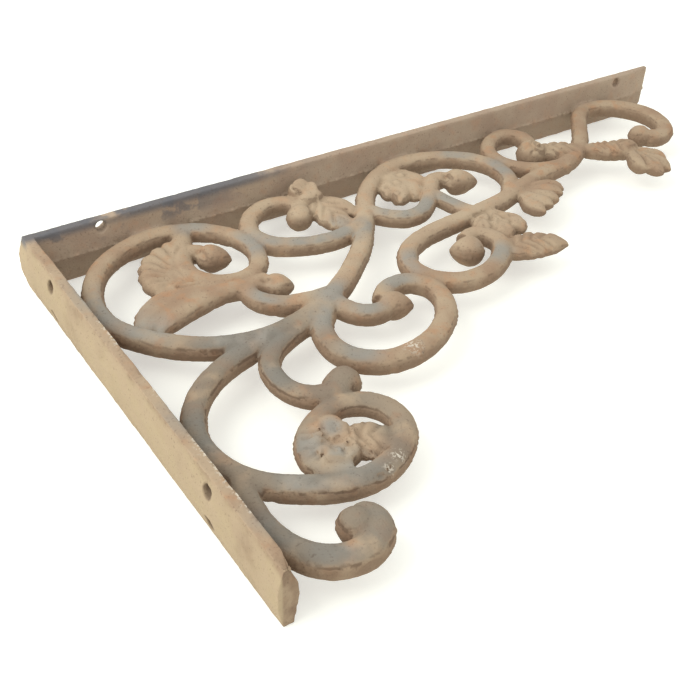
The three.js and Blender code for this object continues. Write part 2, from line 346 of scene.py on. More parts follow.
def distance_to_line(places: np.ndarray, line: np.ndarray) -> np.ndarray:
    """Measures how far places lie from a line of straight stretches.

    Args:
        places: The reach and drop of each place.
        line: The reach and drop of each corner of the line.

    Returns:
        The distance of each place.
    """
    nearest = np.full(len(places), np.inf)
    for start, end in zip(line, line[1:]):
        along = end - start
        share = np.clip((places - start) @ along / max(along @ along, 1e-9), 0, 1)
        away = places - start - share[:, None] * along
        nearest = np.minimum(nearest, np.linalg.norm(away, axis=1))
    return nearest


def spots(
    reach: np.ndarray, drop: np.ndarray, places: Iterable[tuple[float, float, float]], full: float
) -> np.ndarray:
    """Spreads round spots over the plan, each fading outwards.

    Args:
        reach: The reach of each point.
        drop: The drop of each point.
        places: The reach, drop and size of each spot.
        full: The strength at a spot's middle, which is cut at 1.

    Returns:
        The strength of the strongest spot at each point, 0 to 1.
    """
    shares = np.zeros(len(reach))
    for place_reach, place_drop, size in places:
        away = np.hypot(reach - place_reach, drop - place_drop) / size
        shares = np.maximum(shares, np.clip(full - away, 0, 1))
    return shares


@dataclass
class AnglePlates:
    """The long shelf plate and the shorter wall plate, drafted from a ridge along their middle."""

    shelf_arm: float = 405.0
    wall_arm: float = 231.5
    width: float = 28.0
    edge_thickness: float = 4.4
    inner_swell: float = 2.2
    outer_crown: float = 2.0
    seat_band: float = 9.4
    tip_thickness: float = 2.8
    tip_taper: float = 16.0
    hole_diameter: float = 5.5
    # Each hole is a distance from the corner and one towards the front.
    shelf_holes: tuple[tuple[float, float], ...] = (
        (36.5, 10.2), (36.5, -10.2), (376.5, 10.2), (376.5, -10.2),
    )
    wall_holes: tuple[tuple[float, float], ...] = (
        (36.5, 7.7), (36.5, -7.9), (182.2, 7.7), (182.2, -7.9),
    )
    bore_length: float = 40.0

    def block(self) -> bpy.types.Object:
        """Makes the L of the two plates from one cube.

        Returns:
            The plates, cut through where the draft bends them.
        """
        centre = PLAN.place(self.shelf_arm / 2, self.edge_thickness / 2)
        clear_selection()
        bpy.ops.mesh.primitive_cube_add(size=1, location=centre)
        plates = bpy.context.object
        plates.name = "plates"
        plates.scale = Vector((self.shelf_arm, self.width, self.edge_thickness)) * MM
        apply_place(plates)
        self.cut(plates, PLAN.place(self.edge_thickness, 0), (1, 0, 0))
        self.cut(plates, PLAN.place(self.shelf_arm - self.tip_taper, 0), (1, 0, 0))
        self.select_corner(plates)
        fall = (self.edge_thickness - self.wall_arm) * MM
        bpy.ops.mesh.extrude_region_move(TRANSFORM_OT_translate={"value": (0, 0, fall)})
        for across in (-self.seat_band / 2, 0, self.seat_band / 2):
            self.cut(plates, PLAN.place(0, 0, across), (0, 1, 0))
        log.info("plates: %.0f by %.0f mm, %.0f mm wide", self.shelf_arm, self.wall_arm, self.width)
        return plates

    def select_corner(self, plates: bpy.types.Object) -> None:
        """Selects the underside of the corner, from which the wall plate grows down.

        Args:
            plates: The shelf plate, which is left in edit mode.
        """
        reach = PLAN.corner_reach + self.edge_thickness
        straight_down = -0.9
        pick(plates)
        bpy.ops.object.mode_set(mode="EDIT")
        bpy.ops.mesh.select_mode(type="FACE")
        bpy.ops.mesh.select_all(action="DESELECT")
        bpy.ops.object.mode_set(mode="OBJECT")
        for face in plates.data.polygons:
            face.select = face.normal.z < straight_down and face.center.x < reach * MM
        bpy.ops.object.mode_set(mode="EDIT")

    @staticmethod
    def cut(plates: bpy.types.Object, at: Vector, normal: tuple[int, int, int]) -> None:
        """Cuts the mesh through at a plane, and keeps both sides.

        Args:
            plates: The mesh to cut.
            at: A point of the plane.
            normal: The direction across the plane.
        """
        pick(plates)
        bpy.ops.object.mode_set(mode="EDIT")
        bpy.ops.mesh.select_all(action="SELECT")
        bpy.ops.mesh.bisect(plane_co=at, plane_no=normal)
        bpy.ops.object.mode_set(mode="OBJECT")

    def draft(self, plates: bpy.types.Object) -> None:
        """Crowns the outer faces, swells the inner ones along the middle and thins the tip.

        Args:
            plates: The L of the two plates.
        """
        left = PLAN.corner_reach
        top = PLAN.corner_height
        inner_x = left + self.edge_thickness
        inner_z = top - self.edge_thickness
        band = self.seat_band / 2 + 0.01
        tip = left + self.shelf_arm
        near = 0.05
        shoulder = self.inner_swell * (1 - self.seat_band / self.width)

        def middle(point: Vector) -> bool:
            """Tells whether a point lies on the middle line."""
            return abs(point.y) < near

        def beside(point: Vector) -> bool:
            """Tells whether a point lies on the two lines beside the middle."""
            return near < abs(point.y) < band

        def under_shelf(point: Vector) -> bool:
            """Tells whether a point lies on the shelf plate's inner face, short of its tip."""
            return abs(point.z - inner_z) < near and inner_x - near < point.x < tip - near

        def off_wall(point: Vector) -> bool:
            """Tells whether a point is as far out as the wall plate's inner face."""
            return abs(point.x - inner_x) < near

        moves = (
            (lambda p: abs(p.y) < band and p.z > top - near, (0, 0, self.outer_crown)),
            (lambda p: abs(p.y) < band and p.x < left + near, (-self.outer_crown, 0, 0)),
            (lambda p: middle(p) and under_shelf(p), (0, 0, -self.inner_swell)),
            (
                lambda p: middle(p) and off_wall(p) and p.z < inner_z + near,
                (self.inner_swell, 0, 0),
            ),
            (lambda p: beside(p) and under_shelf(p), (0, 0, -shoulder)),
            (lambda p: beside(p) and off_wall(p), (shoulder, 0, 0)),
            (
                lambda p: p.x > tip - near and p.z < top - near,
                (0, 0, self.edge_thickness - self.tip_thickness),
            ),
        )
        for wanted, shift in moves:
            select_points(plates, wanted)
            bpy.ops.transform.translate(value=Vector(shift) * MM)
            bpy.ops.object.mode_set(mode="OBJECT")

    def drill(self, plates: bpy.types.Object) -> None:
        """Bores the screw holes.

        Args:
            plates: The plates, faced outwards.
        """
        radius = self.hole_diameter / 2 * MM
        bores = [(PLAN.place(reach, 0, lift), (0, 0, 0)) for reach, lift in self.shelf_holes]
        across = (0, math.pi / 2, 0)
        bores += [(PLAN.place(0, drop, lift), across) for drop, lift in self.wall_holes]
        for place, turn in bores:
            clear_selection()
            bpy.ops.mesh.primitive_cylinder_add(
                vertices=32, radius=radius, depth=self.bore_length * MM,
                location=place, rotation=turn,
            )
            bore = bpy.context.object
            apply_place(bore)
            modified(plates, "BOOLEAN", object=bore, operation="DIFFERENCE", solver="EXACT")
            bpy.data.objects.remove(bore)

    def build(self) -> bpy.types.Object:
        """Makes the two plates.

        Returns:
            The plates as one closed mesh.
        """
        plates = self.block()
        self.draft(plates)
        face_outwards(plates)
        self.drill(plates)
        return plates


@dataclass(frozen=True)
class BallEnd:
    """The knob that a bar curls up into: round, or drawn out to a tip like a bud."""

    reach: float
    drop: float
    radius: float
    tip: tuple[float, float] | None = None
    narrowing: float = 0.35

    def build(self) -> bpy.types.Object:
        """Makes the knob from one sphere.

        Returns:
            The closed knob.
        """
        radius = self.radius * MM
        clear_selection()
        bpy.ops.mesh.primitive_uv_sphere_add(segments=24, ring_count=16, radius=radius)
        ball = bpy.context.object
        ball.location = PLAN.place(self.reach, self.drop)
        if self.tip:
            along = PLAN.place(*self.tip) - PLAN.place(self.reach, self.drop)
            longer = along.length / radius
            for vertex in ball.data.vertices:
                share = max(vertex.co.z / radius, 0.0)
                vertex.co.x *= 1 - self.narrowing * share**2
                vertex.co.y *= 1 - self.narrowing * share**2
                vertex.co.z *= longer if share > 0 else 1
            ball.rotation_euler = (0, math.atan2(along.x, along.z), 0)
        apply_place(ball)
        return ball


@dataclass
class Scrolls:
    """The bars of the openwork, each a list of reach, drop and radius, and their ball ends."""

    cuts: int = 4
    sides: int = 24
    width_share: float = 0.96
    depth_share: float = 0.9
    bars: dict[str, Stations] = field(default_factory=lambda: {
        "corner_ring": [
            (100, 101, 5.5), (84, 106.5, 5.8), (66, 109, 5.8), (48, 105, 5.6), (33, 96, 5.6),
            (21, 84, 5.5), (13, 70, 5.4), (11.6, 55, 5.3), (16.5, 39, 5.2), (26, 25.5, 5.2),
            (40, 16.2, 5.2), (58, 11.4, 5.4), (76, 15, 5), (89, 25, 4.9), (95.5, 38, 4.8),
            (94.5, 51, 4.8), (88, 61, 4.7), (78, 64.5, 4.6), (68, 61.5, 4.6), (61.5, 54, 4.6),
            (60, 45, 4.6), (62.5, 36.5, 4.7), (67, 33, 4.9), (72, 35.5, 4.8), (75, 40, 3.5),
        ],
        "bud_hook": [
            (106, 96, 5.4), (96, 95, 5.3), (85, 92, 5.2), (77, 84, 5), (75.5, 76, 4.8),
            (79, 71.5, 5), (84.5, 72.5, 5), (89, 76, 3.5),
        ],
        "great_scroll": [
            (96, 103, 5.6), (106, 97.5, 5.8), (117, 90.5, 5.6), (129, 81, 5.4),
            (141.5, 69.5, 5.3), (152, 56.5, 5.2), (163, 41, 5.2), (173, 28, 5.2),
            (187, 17, 5.3), (204, 11.2, 5.5), (222, 12.6, 5.3), (238, 20.5, 5.1),
            (248, 32, 5.1), (250.5, 45, 5.1), (246, 58, 5), (236, 68, 5),
        ],
        "inner_curl": [
            (162, 41, 4.8), (168, 52, 4.9), (177, 58.5, 4.9), (188, 57, 4.8), (198, 49, 4.7),
            (206, 40, 4.8), (211.5, 34.5, 5), (217, 35.5, 5), (222, 40, 3.5),
        ],
        "curl_strut": [(203, 47, 4.2), (205, 59, 4.4), (208, 71, 4.8)],
        "bud_loop": [
            (157, 49, 5), (146, 55, 5), (131, 57, 5), (116, 53, 5), (104.5, 45, 5.2),
            (101, 33, 5.2), (107.5, 20.5, 5), (120, 13.5, 4.9), (131, 15.5, 4.8),
            (134.5, 21, 5), (132, 28, 5.4),
        ],
        "far_loop": [
            (288, 57, 4.9), (273, 54, 4.9), (262, 47, 4.8), (257, 36, 4.7), (259, 24, 4.7),
            (268, 15, 4.7), (279, 12, 4.9), (286, 17, 5), (286.5, 26, 5), (281, 35, 3.5),
        ],
        "long_stem": [
            (349, 8, 4.8), (338, 14.5, 4.8), (329, 24, 4.8), (318, 36.5, 4.9), (306, 47, 5),
            (292, 54.5, 5.1), (276, 58, 5.1), (260, 60.5, 5.1), (245, 65, 5.1), (228, 70, 5.1),
            (208, 73, 5.2), (188, 75, 5.2), (171, 78, 5.2), (158, 85, 5.3), (151.5, 96, 5.3),
            (154, 109, 5.3), (165, 117.5, 5.3), (179, 118, 5.3), (193, 112, 5.3),
            (201.5, 102.5, 5.2), (201.5, 94, 5.1), (195.5, 88.5, 5), (188, 90.5, 5),
        ],
        "heart_loop": [
            (101, 103, 5.4), (93, 110, 5.4), (87.5, 120, 5.4), (86.5, 132, 5.5),
            (92, 142.5, 5.6), (103, 148.5, 5.6), (117, 148.5, 5.5), (131, 143.5, 5.3),
            (142.5, 134.5, 5.2), (149, 123, 5.2), (149, 111.5, 5.2), (140, 104.5, 5.2),
            (130, 106, 5.3), (124.5, 112, 5.6),
        ],
        "heart_hook": [
            (105, 98, 5.2), (105.5, 106, 5.2), (109, 113.5, 5.2), (115, 117.5, 5.2),
            (122, 117.5, 5),
        ],
        "side_hook": [
            (90, 107, 5.2), (76, 112, 5), (64, 118, 4.9), (57, 126, 4.9), (54.8, 136, 5),
            (57.5, 146.5, 5), (64, 152.5, 5.4), (70.5, 154, 6), (76, 152, 6.2),
        ],
        "lower_scroll": [
            (68, 109, 5.6), (52, 113.5, 5.6), (37, 119, 5.5), (24, 128, 5.5), (15, 139.5, 5.4),
            (10.6, 153, 5.3), (12, 168, 5.3), (19, 182, 5.4), (31, 192, 5.6), (46, 199.5, 5.7),
            (60, 200.5, 5.7), (73, 195, 5.7), (82, 185, 5.6), (83, 173.5, 5.4),
            (76.5, 164.5, 5.2), (66, 161.5, 5), (54.5, 165, 5), (45.5, 172.5, 5),
            (41.5, 182, 4.8), (44, 190.5, 4.6), (52, 195.5, 4.6),
        ],
        "foot_scroll": [
            (15, 176, 5.3), (11, 190, 5.4), (10.4, 203, 5.5), (13.5, 216, 5.8),
            (21.5, 226, 6.2), (32, 229, 6.5), (40.5, 226.5, 6.5), (44.5, 220.5, 6.2),
            (43, 214.5, 5.4), (38.5, 215, 3.5),
        ],
        "far_hook": [
            (347, 9.5, 4.8), (358, 11.5, 5.2), (368, 18.5, 5.5), (375, 30, 5.6),
            (375.5, 42, 5.5), (370, 53.5, 5.4), (361, 58, 5.3), (353, 55, 5.2),
        ],
        "fan_stem": [(88, 71, 4.8), (76, 71, 5), (64, 68.5, 5)],
    })
    ball_ends: list[BallEnd] = field(default_factory=lambda: [
        BallEnd(74.5, 41, 6.9, (83, 46.5)),
        BallEnd(89.3, 76.5, 6.3, (96.5, 81)),
        BallEnd(222.5, 40.5, 7.1, (233, 46)),
        BallEnd(130.3, 30.4, 6.8),
        BallEnd(185, 98.3, 7.5, (176.8, 93.2)),
        BallEnd(126.5, 116.3, 6.7, (134.5, 121)),
        BallEnd(77, 150.5, 7.5, (68.5, 147)),
        BallEnd(38, 217.2, 7.3),
        BallEnd(351.5, 51, 6.5),
        BallEnd(279.5, 37, 8.5),
    ])

    def bar(self, name: str, stations: Stations) -> bpy.types.Object:
        """Makes one bar of round section.

        Args:
            name: The bar's name.
            stations: The reach, drop and radius at places along it.

        Returns:
            The closed bar.
        """
        points = spline(stations, self.cuts)
        path = [PLAN.place(reach, drop) for reach, drop, _ in points]
        widths = [radius * self.width_share * MM for _, _, radius in points]
        depths = [radius * self.depth_share * MM for _, _, radius in points]
        return extruded_rod(name, path, widths, depths, self.sides)

    def build(self) -> list[bpy.types.Object]:
        """Makes every bar and ball end.

        Returns:
            The closed pieces, which overlap where the casting runs together.
        """
        made = [self.bar(name, stations) for name, stations in self.bars.items()]
        log.info("scrolls: %d bars", len(made))
        made += [ball_end.build() for ball_end in self.ball_ends]
        log.info("scrolls: %d ball ends", len(self.ball_ends))
        return made


@dataclass(frozen=True)
class Stroke:
    """A line on the plan along which the front and back surfaces are cut in or raised."""

    points: list[tuple[float, float]]
    width: float
    depth: float


def ring_stroke(centre: tuple[float, float], radius: float, width: float, depth: float) -> Stroke:
    """Gives a round stroke.

    Args:
        centre: The reach and drop of its middle.
        radius: The radius of its line.
        width: How far the cut spreads from the line.
        depth: How deep the cut is.

    Returns:
        The stroke.
    """
    reach, drop = centre
    turns = np.linspace(0, math.tau, 13)
    points = [(reach + radius * math.cos(a), drop + radius * math.sin(a)) for a in turns]
    return Stroke(points, width, depth)


def dot_stroke(centre: tuple[float, float], width: float, depth: float) -> Stroke:
    """Gives a stroke that is one spot: a pit, or a bead where its depth is below nothing."""
    reach, drop = centre
    return Stroke([(reach, drop), (reach + 0.1, drop)], width, depth)


@dataclass(frozen=True)
class Lobe:
    """One lobe of a leaf: where it ends, how wide and deep it is, and how it swells."""

    reach: float
    drop: float
    half_width: float
    half_depth: float = 4.6
    lift: float = 0.0
    via: tuple[float, float] | None = None
    form: Form = Form.BUD
    teeth: int = 0
    ribs: int = 0
    notch: float = 0.2

    def centre(self, root: tuple[float, float], share: float) -> np.ndarray:
        """Gives a point of the lobe's middle line.

        Args:
            root: The reach and drop where the leaf starts.
            share: The place along the lobe, 0 to 1.

        Returns:
            The point's reach and drop.
        """
        start = np.array(root, float)
        end = np.array((self.reach, self.drop), float)
        if self.via is None:
            return start + (end - start) * share
        bend = np.array(self.via, float)
        return start * (1 - share) ** 2 + bend * 2 * share * (1 - share) + end * share**2

    def half_width_at(self, share: float) -> float:
        """Gives the half width at a place along the lobe, with a notch behind each tooth.

        Args:
            share: The place, 0 to 1.

        Returns:
            The half width.
        """
        wide = self.half_width * self.form.swell(share)
        if self.teeth:
            wide *= 1 - self.notch * (share * self.teeth % 1.0) ** 2
        return wide


@dataclass
class Leaf:
    """A spray of lobes from one root."""

    root: tuple[float, float]
    lobes: list[Lobe]
    root_lift: float = 0.0


@dataclass
class Leaves:
    """All leaves and flowers of the openwork."""

    sides: int = 16
    steps: int = 10
    rings_to_a_tooth: int = 5
    round_stretch: float = 0.94
    round_from: float = 0.85
    round_fall: float = 0.046
    blunt: float = 0.1
    midrib: tuple[float, float] = (0.12, 0.9)
    rib_from: float = 0.14
    rib_span: float = 0.62
    rib_width: float = 1.0
    rib_depth: float = 1.1
    sprays: dict[str, Leaf] = field(default_factory=lambda: {
        "corner_fan": Leaf((57, 53), [
            Lobe(62, 20, 5, form=Form.WEDGE), Lobe(54, 22.5, 5, form=Form.WEDGE),
            Lobe(47, 26.5, 5, form=Form.WEDGE), Lobe(42, 32.5, 5, form=Form.WEDGE),
            Lobe(38.5, 39.5, 5, form=Form.WEDGE), Lobe(37, 46.5, 5, form=Form.WEDGE),
            Lobe(38, 53, 5, form=Form.WEDGE), Lobe(44, 58, 5, form=Form.WEDGE),
        ]),
        "fan_neck": Leaf((75, 15), [Lobe(55, 60, 6.4, 4.8, via=(57, 34), form=Form.BLADE)]),
        "lower_leaf": Leaf((74, 70), [
            Lobe(21, 80, 10.5, 4.8, via=(40, 57), form=Form.BLADE),
            Lobe(27, 84, 7, 4.6, via=(44, 66), form=Form.BLADE),
        ]),
        "loop_rosette": Leaf((142, 17), [
            Lobe(134, 13, 4.6, lift=5), Lobe(142, 9, 4.6, lift=6), Lobe(149, 17, 4.6, lift=5),
            Lobe(138, 26, 5, lift=2), Lobe(147, 26, 5, lift=2),
        ], root_lift=4),
        "loop_leaf": Leaf((145, 20), [
            Lobe(147, 55, 8.6, 4.6, lift=0.5, via=(143, 38), form=Form.BLADE, teeth=4, ribs=3),
            Lobe(156, 44, 6, 4.2, lift=0.5, via=(153, 26)),
        ]),
        "curl_rosette": Leaf((203, 19), [
            Lobe(186, 27, 6.6), Lobe(179.5, 36, 6.6), Lobe(183, 44, 6.4), Lobe(193, 45, 6.4),
            Lobe(202, 37, 6.4), Lobe(189, 37, 8),
        ]),
        "stem_spray": Leaf((217, 76), [
            Lobe(201, 92, 5.6, via=(205, 80), ribs=2), Lobe(209, 100, 6.4, ribs=2),
            Lobe(220, 98, 5.8, via=(223, 87), ribs=2),
        ]),
        "pointed_leaf": Leaf((200, 110), [
            Lobe(231.5, 118, 10, 4.6, via=(215, 106), form=Form.BLADE, teeth=4, ribs=4),
        ]),
        "cupped_leaf": Leaf((245, 68), [
            Lobe(251, 84, 15, 4), Lobe(240, 92.5, 4.6, 4, lift=2, via=(237, 80)),
            Lobe(247, 90.5, 4.6, 4, lift=3, via=(243, 79)),
            Lobe(253.5, 87.5, 4.6, 4, lift=3, via=(250, 77)),
            Lobe(260, 83.5, 4.6, 4, lift=3, via=(257, 72)),
            Lobe(265, 79, 4.6, 4, lift=2, via=(261, 66)),
        ]),
        "far_calyx": Leaf((282, 37), [Lobe(308, 50, 8, 6, form=Form.BLADE, ribs=3)]),
        "far_stem": Leaf((309, 50), [
            Lobe(332, 66, 7, 5.4, via=(323, 53), form=Form.BLADE, teeth=5, ribs=5),
            Lobe(338, 62, 5.4, 5, lift=2),
        ]),
        "far_leaf": Leaf((333, 63), [
            Lobe(324, 84, 5, via=(323, 72)), Lobe(329, 91, 5, via=(330, 76), ribs=1),
            Lobe(336, 90, 5, via=(335, 75), ribs=1), Lobe(341, 82, 4.8, via=(340, 69), ribs=1),
        ]),
        "scroll_flower": Leaf((53, 180), [
            Lobe(45, 174, 6, lift=1.5), Lobe(51, 167, 6, lift=1.5), Lobe(59, 166, 6, lift=2),
            Lobe(63, 174, 6, lift=2), Lobe(62, 184, 6, lift=2), Lobe(56, 192, 6, lift=1),
            Lobe(47, 189, 6, lift=1.5), Lobe(43, 182, 6, lift=1.5),
        ]),
        "flower_leaf": Leaf((56, 182), [
            Lobe(76, 190, 10.4, 4.2, via=(66, 181), form=Form.BLADE, teeth=4, ribs=3),
        ]),
    })

    def rounding(self, share: float) -> float:
        """Gives how far a lobe draws in to its blunt tip, as a share of its full size."""
        past = max(share / self.round_stretch - self.round_from, 0)
        return math.sqrt(max(1 - past**2 / self.round_fall, self.blunt))

    def lobe(self, name: str, leaf: Leaf, shape: Lobe) -> bpy.types.Object:
        """Extrudes one lobe from its leaf's root to its tip.

        Args:
            name: The leaf's name.
            leaf: The leaf that it belongs to.
            shape: The lobe.

        Returns:
            The closed lobe.
        """
        steps = max(self.steps, shape.teeth * self.rings_to_a_tooth)
        path, widths, depths = [], [], []
        for step in range(steps + 1):
            share = step / steps
            round_end = self.rounding(share)
            point = shape.centre(leaf.root, share)
            lift = leaf.root_lift + (shape.lift - leaf.root_lift) * share
            path.append(PLAN.place(point[0], point[1], lift))
            widths.append(shape.half_width_at(share) * round_end * MM)
            depths.append(shape.half_depth * shape.form.swell(share) ** 0.5 * round_end * MM)
        return extruded_rod(name, path, widths, depths, self.sides)

    def build(self) -> list[bpy.types.Object]:
        """Makes every lobe of every leaf.

        Returns:
            The closed lobes.
        """
        made = []
        for name, leaf in self.sprays.items():
            made += [self.lobe(name, leaf, shape) for shape in leaf.lobes]
            log.info("leaf %s: %d lobes", name, len(leaf.lobes))
        return made

    def veins(self) -> list[Stroke]:
        """Gives the grooves of every ribbed lobe.

        Returns:
            A midrib for each, and pairs of ribs to the sides of it.
        """
        strokes = []
        for leaf in self.sprays.values():
            for shape in leaf.lobes:
                if not shape.ribs:
                    continue
                middle = [shape.centre(leaf.root, share) for share in np.linspace(*self.midrib, 6)]
                strokes.append(Stroke([tuple(point) for point in middle], self.rib_width, 0.5))
                for rib in range(shape.ribs):
                    start = self.rib_from + self.rib_span * rib / shape.ribs
                    strokes += self.side_ribs(leaf, shape, start, start + 0.5 / shape.ribs + 0.06)
        return strokes

    def side_ribs(self, leaf: Leaf, shape: Lobe, start: float, end: float) -> list[Stroke]:
        """Gives one pair of grooves that run from the midrib forward to both edges.

        Args:
            leaf: The leaf.
            shape: The ribbed lobe.
            start: Where the pair leaves the midrib, as a share of the lobe's length.
            end: Where it meets the edges.

        Returns:
            The two grooves.
        """
        end = min(end, 0.98)
        root = shape.centre(leaf.root, start)
        ahead = shape.centre(leaf.root, end)
        along = ahead - root
        aside = np.array((-along[1], along[0])) / np.linalg.norm(along)
        reachable = shape.half_width_at(end) * 0.95
        tips = [tuple(ahead + aside * reachable * side) for side in (-1, 1)]
        return [Stroke([tuple(root), tip], self.rib_width, self.rib_depth) for tip in tips]


@dataclass
class Carving:
    """The fine modelling cut into the fused casting: veins, sockets, beads, pits and the flash."""

    back_share: float = 0.5
    keel_height: float = 0.45
    keel_width: float = 0.7
    keel_mean: float = 0.55
    keel_rag: float = 0.3
    keel_inside: tuple[float, float] = (3.0, 114.0)
    keel_doubled: float = 106.0
    # Each wave runs along one axis and is swayed by a slower one across it.
    keel_waves: tuple[tuple[int, int, float, float], ...] = ((0, 2, 1.9, 0.8), (2, 0, 2.3, 0.6))
    pits: int = 420
    # Pits start this far out from the wall and this far towards the table.
    pits_from: tuple[float, float] = (8.0, -1.0)
    pit_sizes: tuple[float, float] = (0.7, 1.5)
    pit_depth: float = 0.35
    # Each worn corner is a place, how far the wear reaches and how deep it goes.
    worn: tuple[tuple[tuple[float, float, float], float, float], ...] = (
        ((6.5, -14, -115.75), 8.5, 2.6),
        ((407, 14, 112.5), 5, 1.5),
    )
    button: tuple[float, float] = (281, 40)
    button_rings: tuple[float, ...] = (1.9, 4.6)
    button_rays: int = 9
    button_edge: float = 8.0
    # Each cut is a width and a depth, and a depth below nothing stands up.
    ring_cut: tuple[float, float] = (0.8, 1.1)
    knob: tuple[float, float] = (1.0, -0.7)
    ray_cut: tuple[float, float] = (0.7, 0.9)
    bead: tuple[float, float] = (1.5, -1.1)
    bead_ring: tuple[float, float, float] = (2.7, 0.8, 0.35)
    rosette_pits: tuple[tuple[tuple[float, float], float, float], ...] = (
        ((183, 31), 1.4, 1.8), ((190, 44), 1.6, 1.0),
    )
    flute_from: float = 0.45
    flute_cut: tuple[float, float] = (1.0, 0.55)
    flower: tuple[float, float] = (51, 180)
    folds: int = 26
    bead_places: tuple[tuple[float, float], ...] = ((190, 31), (183.5, 39), (197, 25))
    sockets: tuple[Stroke, ...] = (
        Stroke([(69.5, 38.5), (70, 44)], 1.5, 1.8),
        Stroke([(84, 74.5), (87, 79.5)], 1.5, 1.5),
        Stroke([(217, 38.5), (216, 43)], 1.6, 1.8),
        Stroke([(127, 27), (132.5, 25.5)], 1.2, 0.9),
        Stroke([(193, 96), (192, 103)], 1.6, 1.4),
        Stroke([(57, 204.5), (58, 204.7)], 0.9, 1.4),
        Stroke([(61.5, 204), (63, 203.6)], 1.0, 1.6),
        Stroke([(49, 59.5), (58, 61)], 1.1, 1.5),
        Stroke([(64, 30.5), (58.5, 35.5), (56, 41), (55, 46), (55.5, 51)], 0.9, 0.8),
        Stroke([(60, 65), (44, 62), (31, 66)], 1.4, 0.35),
        Stroke([(46, 69), (36, 71), (27, 76)], 1.4, 0.35),
        Stroke([(136, 15), (138, 18)], 1.5, 2.4),
    )

    def strokes(self, leaves: Leaves) -> list[Stroke]:
        """Gives every stroke of the carving.

        Args:
            leaves: The leaves, whose veins are among them.

        Returns:
            The strokes, on the plan.
        """
        found = [*leaves.veins(), *self.sockets]
        found += [ring_stroke(self.button, radius, *self.ring_cut) for radius in self.button_rings]
        found.append(dot_stroke(self.button, *self.knob))
        centre = np.array(self.button)
        for turn in np.arange(0, math.tau, math.tau / self.button_rays):
            way = np.array((math.cos(turn), math.sin(turn)))
            ray = [centre + way * self.button_rings[-1], centre + way * self.button_edge]
            found.append(Stroke(ray, *self.ray_cut))
        for place in self.bead_places:
            found.append(dot_stroke(place, *self.bead))
            found.append(ring_stroke(place, *self.bead_ring))
        found += [dot_stroke(*pit) for pit in self.rosette_pits]
        return found + self.crinkles() + self.flutes(leaves.sprays["corner_fan"])

    def flutes(self, fan: Leaf) -> list[Stroke]:
        """Gives the grooves between the lobes of the corner fan.

        Args:
            fan: The fan.

        Returns:
            One groove between each two lobes, from the middle out.
        """
        root = np.array(fan.root)
        found = []
        for first, second in zip(fan.lobes, fan.lobes[1:]):
            rim = np.array((first.reach + second.reach, first.drop + second.drop)) / 2
            start = root + (rim - root) * self.flute_from
            found.append(Stroke([tuple(start), tuple(rim)], *self.flute_cut))
        return found

    def crinkles(self) -> list[Stroke]:
        """Gives the crinkled folds and ridges of the scroll flower's petals.

        Returns:
            Short strokes turned this way and that, every third of them a ridge.
        """
        draw = random.Random(11)
        centre = np.array(self.flower)
        found = []
        for fold in range(self.folds):
            turn = math.tau * fold / (self.folds / 2) + draw.uniform(-0.2, 0.2)
            out = draw.uniform(1.5, 8.5)
            length = draw.uniform(3, 5.5)
            start = centre + out * np.array((math.cos(turn), math.sin(turn)))
            bent = turn + draw.uniform(-1.1, 1.1)
            end = start + length * np.array((math.cos(bent), math.sin(bent)))
            depth = draw.uniform(0.5, 0.9) if fold % 3 else -draw.uniform(0.4, 0.7)
            found.append(Stroke([tuple(start), tuple(end)], draw.uniform(0.8, 1.2), depth))
        return found

    def carve(self, casting: bpy.types.Object, leaves: Leaves) -> None:
        """Moves the casting's points along their normals under every stroke.

        Args:
            casting: The fused casting.
            leaves: The leaves that were fused into it.
        """
        points, normals = mesh_fields(casting)
        reach, drop = PLAN.measure(points)
        facing = np.where(normals[:, 1] < 0, -normals[:, 1], self.back_share * normals[:, 1])
        moved = np.zeros(len(points))
        for stroke in self.strokes(leaves):
            line = np.array(stroke.points, float)
            low = line.min(axis=0) - 3 * stroke.width
            high = line.max(axis=0) + 3 * stroke.width
            near = np.flatnonzero(
                (reach > low[0]) & (reach < high[0]) & (drop > low[1]) & (drop < high[1])
            )
            away = distance_to_line(np.column_stack((reach[near], drop[near])), line)
            change = -stroke.depth * np.exp(-((away / stroke.width) ** 2)) * facing[near]
            moved[near] = np.where(np.abs(change) > np.abs(moved[near]), change, moved[near])
        moved += self.keel(points, normals) - self.pitting(points, normals)
        for place, size, depth in self.worn:
            away = np.linalg.norm(points - np.array(place), axis=1)
            moved -= depth * np.clip(1 - away / size, 0, 1)
        set_points(casting, points + normals * moved[:, None])

    def keel(self, points: np.ndarray, normals: np.ndarray) -> np.ndarray:
        """Gives the ragged flash along the parting line, twice as high under the shelf plate.

        Args:
            points: The casting's points, in millimetres.
            normals: Their normals.

        Returns:
            How far each point is raised.
        """
        ragged = np.zeros(len(points))
        for along, across, fine, slow in self.keel_waves:
            ragged += np.sin(points[:, along] * fine + 2 * np.sin(points[:, across] * slow))
        upright = np.clip(1 - np.abs(normals[:, 1]) * 1.2, 0, 1)
        inner = (points[:, 0] > self.keel_inside[0]) & (points[:, 2] < self.keel_inside[1])
        line = np.exp(-((points[:, 1] / self.keel_width) ** 2))
        height = np.where(points[:, 2] > self.keel_doubled, 2 * self.keel_height, self.keel_height)
        share = self.keel_mean + self.keel_rag * ragged
        return np.where(inner, height * share * line * upright, 0)

